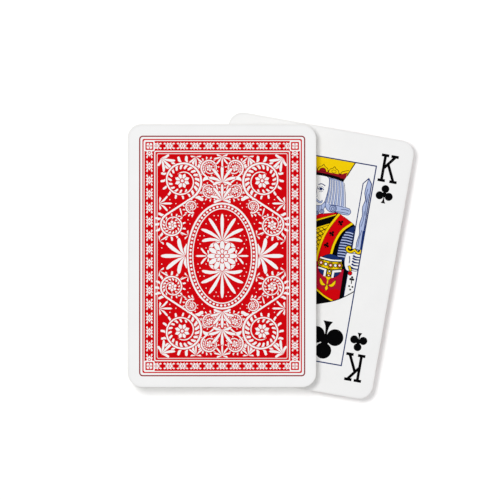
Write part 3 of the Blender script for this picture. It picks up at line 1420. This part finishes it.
def drawCap():
    cap = flow([(0, 28.6), (4.4, 28.4), (8.4, 27.6), (9.4, 28.8), (8.6, 30.4), (5.2, 33.2), (0, 33.6)])
    shapes = edged("red", halves(cap), 0.2, "black")
    shapes += strokes("black", 1.4, [(-8.6, 27.6), (0, 28.5), (8.6, 27.6)])
    shapes += strokes("yellow", 0.5, [(-8.4, 28.0), (0, 28.9), (8.4, 28.0)])
    return shapes + edged("yellow", disc(5.6, 30.4, 1.0), 0.16, "black")


def drawCrown(kind):
    if kind == "cap":
        return moved(drawCap(), crown["x"])
    top, last = (crown["top"], 1) if kind == "tall" else (crown["coronetTop"], 2)
    low = crown["goldFoot"]
    shapes = crownBand("black", top + crown["line"], crown["foot"], crown["lineAside"])
    shapes += crownBand("deepRed", *crown["lining"]) + crownBand("yellow", top, low)
    for end in (0, -1):
        shapes += inked("black", ribbon([crownLine(top, 0)[end], crownLine(low, 0)[end]], 0.34))
    for i in range(-2, last + 1):
        x = crown["bossX"] + crown["step"] * i
        if kind == "coronet":
            pearlX = crown["x"] + crown["pearlStep"] * i
            pearl = disc(pearlX, bowed(pearlX, crown["pearlY"]), crown["pearl"])
            shapes += edged("yellow", pearl, 0.16, "black")
        shapes += moved(drawBoss(i % 2), x, bowed(x, crown["bossY"]) - crown["bossY"])
    if kind == "tall":                       # where the rim of gold runs out at the side
        shapes += inked("deepRed", flow([(8.2, 28.5), (9.3, 29.6), (10.75, 30.2)])
                        + [(9.9, 28.0), (8.6, 27.9)])
        shapes += strokes("black", 0.18, [(8.3, 28.9), (8.7, 30.0), (9.6, 30.5), (10.95, 31.0)])
    return shapes


def drawCourt(rank, suit):
    costume, figure = costumes[suit], figures[rank]
    held = {"sword": drawSword, "staff": drawStaff, "flower": drawFlower}[figure["holds"]]
    half = moved(sign(suit, court["pipHigh"]), *court["pip"])
    half += drawBreast(costume) + drawCollar(costume) + drawRobe(costume, suit)
    half += drawSleeve(costume) + drawSkirt(costume) + drawOrb() + drawCloth(suit) + held() + drawHand()
    half += drawHair(figure["hair"]) + drawFace(figure) + drawCrown(figure["crown"])
    edge, top = court["wide"], court["high"]
    box = [(edge, -top), (edge, top), (-edge, top), (-edge, -top)]
    x, y = (court["sash"] * place for place in court["parting"][-1])
    lines = inked("navy", ribbon(box, court["line"], closed=True))
    lines += inked("black", ribbon(partingLine(), court["partingLine"]))
    lines += cased("yellow", [(x, y), (-x, -y)], court["sashWide"], court["sashInner"])
    return drawIndices(rank, suit), half, lines


# Jokers: a jester's cap with bells, twice

jester = {
    "cap": [(0, 12), (2.6, 20), (4.6, 23.5), (8.4, 24.5), (12.5, 21), (13.6, 15.4), (11.4, 18.4),
            (9.2, 17.6), (8.4, 12.6), (7.6, 6.6), (0, 5.6)],                 # its right half
    "bells": ((0, 12.6), (13.6, 14.6), (-13.6, 14.6)), "bell": 1.3,
    "hems": ((6.4, 8.4, 7.6), (3.8, 8.0, 5.2)),                              # of the band round the head
    "studStep": 2.2, "studY": 5.2, "studBow": 0.02, "stud": 0.55,
}


def hang(middle, end, endY):
    # Line that is lowest in the middle and rises to both ends
    return [(end * i / 8, middle + (endY - middle) * (i / 8) ** 2) for i in range(-8, 9)]


def drawJoker(ink):
    shapes = edged(ink, halves(flow(jester["cap"])), 0.3, "black")
    upper, lower = (hang(*hem) for hem in jester["hems"])
    shapes += edged("yellow", between(upper, lower), 0.2, "black")
    for x, y in jester["bells"]:
        shapes += edged("yellow", disc(x, y, jester["bell"]), 0.2, "black")
    for i in range(-3, 4):
        x = jester["studStep"] * i
        stud = disc(x, jester["studY"] + jester["studBow"] * x ** 2, jester["stud"])
        shapes += edged("red" if i % 2 else "paper", stud, 0.12, "black")
    return drawIndices(ink, "joker") + shapes + spun(shapes)


# Cards onto their bodies, from the top of the pile down

ranks = {"ace": "A", "two": "2", "three": "3", "four": "4", "five": "5", "six": "6", "seven": "7",
         "eight": "8", "nine": "9", "ten": "10", "jack": "J", "queen": "Q", "king": "K"}
pile = {"turnedUp": "king_of_clubs", "turn": -10.0}


def pressFace(node):
    if node.endswith("joker"):
        return pressSheet(drawJoker(node.split("_")[0]))
    word, suit = node.split("_of_")
    if ranks[word] in figures:
        return pressSheet(*drawCourt(ranks[word], suit), upperHalf())
    return pressSheet(drawNumber(ranks[word], suit))


def addCard(node, upper, lower, turn=0.0):
    low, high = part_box(node)
    mesh = cardMesh(node + "_print", upper, lower, (low + high) / 2, low.z, high.z, turn)
    piece = newObject(node + "_print", mesh)
    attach(piece, node)
    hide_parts(node)


backSheet = pressSheet(drawBack())
print("back pressed:", len(backSheet["triangles"]), "bits")
faceSheets = {}
for level, node in enumerate(topDown):
    faceSheets[node] = pressFace(node)
    if node == pile["turnedUp"]:
        addCard(node, faceSheets[node], backSheet, pile["turn"])
    else:
        addCard(node, backSheet, faceSheets[node])
print("cards laid:", len(faceSheets))
